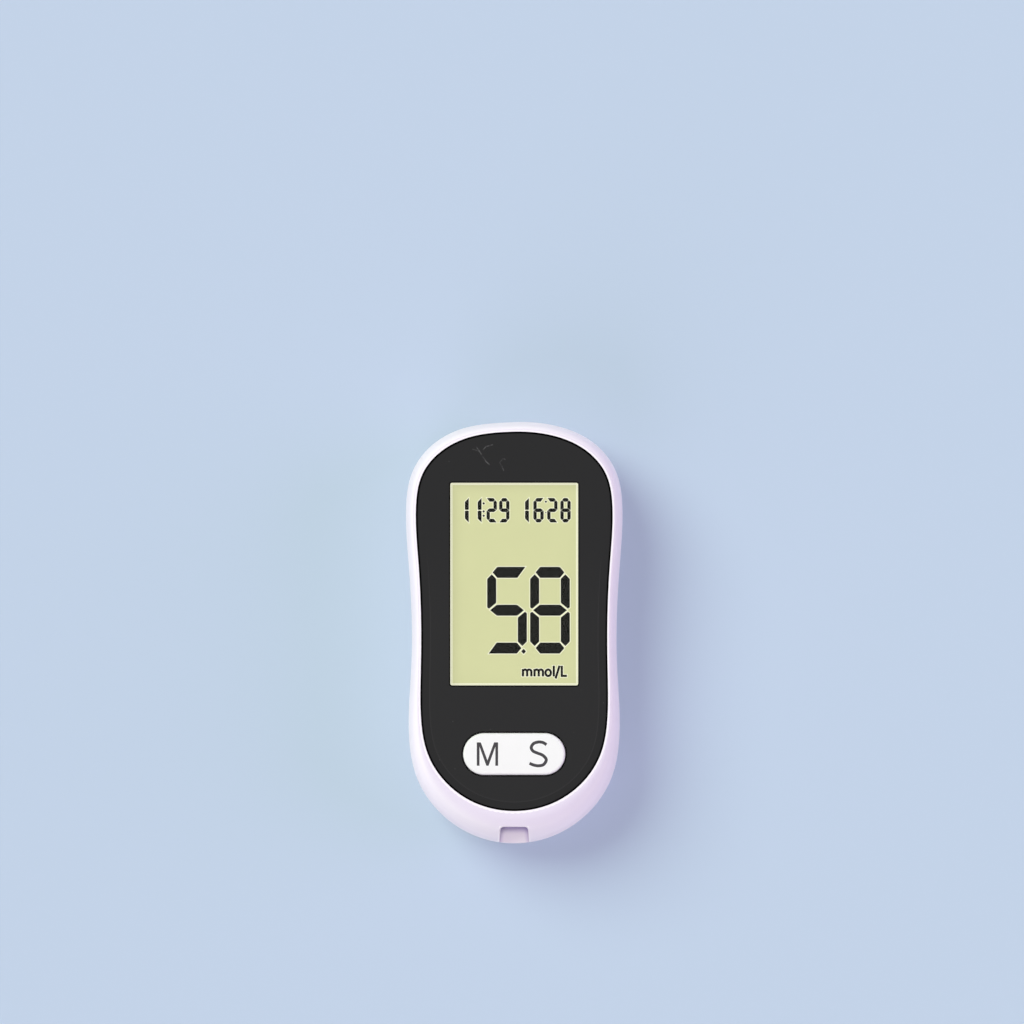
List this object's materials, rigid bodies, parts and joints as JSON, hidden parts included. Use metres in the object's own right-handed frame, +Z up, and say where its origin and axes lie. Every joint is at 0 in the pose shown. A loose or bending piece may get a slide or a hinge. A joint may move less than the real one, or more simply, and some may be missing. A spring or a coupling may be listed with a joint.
{
  "type": "blood glucose meter",
  "caption": "Handheld blood glucose meter with a pale rounded case, black front panel, segment display, rocking pill-shaped key, test strip slot and battery door on the back.",
  "frame": {"origin": "middle of the back face, on the surface that the meter lies on", "axes": "+Z up out of the display, +Y along the meter away from the strip slot, +X to the right of someone reading the display"},
  "size_m": [0.0514, 0.1, 0.0205],
  "materials": {
    "case_plastic": "satin moulded shell, pale lilac white",
    "panel_plastic": "gloss black",
    "window_clear": "clear polished pane",
    "key_plastic": "fine matte, white",
    "lcd_face": "anti-glare film, yellowish green grey",
    "lcd_glass": "thin ground glass",
    "reflector_film": "silvered film",
    "frame_plastic": "matte white",
    "zebra_rubber": "layered conductive rubber",
    "silicone": "soft matte silicone",
    "carbon": "matte carbon rubber",
    "adhesive": "matte foam tape",
    "label_paper": "matte coated label, blank",
    "board_laminate": "green solder mask",
    "chip_plastic": "matte black epoxy",
    "crystal_can": "polished can",
    "small_part_ceramic": "fired ceramic",
    "bead_epoxy": "gloss epoxy bead",
    "connector_plastic": "matte ivory",
    "gold_plate": "gold-plated",
    "nickel_plate": "nickel-plated",
    "battery_steel": "nickel-plated steel",
    "battery_filling": "packed powder",
    "battery_jacket": "shrunk film, plain bands",
    "screw_steel": "zinc-plated"
  },
  "bodies": {
    "case": {"analogue_chip": "chip_plastic", "battery_bridge": "nickel_plate", "battery_can_left": "battery_steel", "battery_can_right": "battery_steel", "battery_end_cap_left": "battery_steel", "battery_end_cap_right": "battery_steel", "battery_filling_left": "battery_filling", "battery_filling_right": "battery_filling", "battery_sleeve_left": "battery_jacket", "battery_sleeve_right": "battery_jacket", "battery_springs": "nickel_plate", "board_screws": "screw_steel", "carbon_pills": "carbon", "case_screws": "screw_steel", "circuit_board": "board_laminate", "crystal": "crystal_can", "display_window": "window_clear", "front_cover": "case_plastic", "front_panel": "panel_plastic", "lcd_frame": "frame_plastic", "lcd_front_glass": "lcd_glass", "lcd_front_polariser": "lcd_face", "lcd_rear_glass": "lcd_glass", "lcd_reflector": "reflector_film", "memory_chip": "chip_plastic", "microcontroller": "chip_plastic", "minus_contact": "nickel_plate", "panel_adhesive": "adhesive", "piezo_buzzer": "chip_plastic", "plus_contact": "nickel_plate", "rear_cover": "case_plastic", "rear_label": "label_paper", "rubber_keypad": "silicone", "small_parts": "small_part_ceramic", "strip_connector": "connector_plastic", "strip_contacts": "gold_plate", "thermistor": "bead_epoxy", "zebra_strip": "zebra_rubber"},
    "key": {"key_cap": "key_plastic"},
    "battery_door": {"battery_door": "case_plastic", "door_latch": "case_plastic"}
  },
  "joints": [
    {"name": "key_rock", "type": "hinge", "parent": "case", "child": "key", "pos_m": [0, -0.0287, 0.0162], "axis": [0, 1, 0], "range_deg": [-2.5, 2.5], "stiffness_Nm_per_rad": 0.2, "deforming": ["rubber_keypad"]},
    {"name": "door_swing", "type": "hinge", "parent": "case", "child": "battery_door", "pos_m": [0, 0.0412, 0], "axis": [1, 0, 0], "range_deg": [0, 70], "deforming": ["door_latch"]}
  ]
}
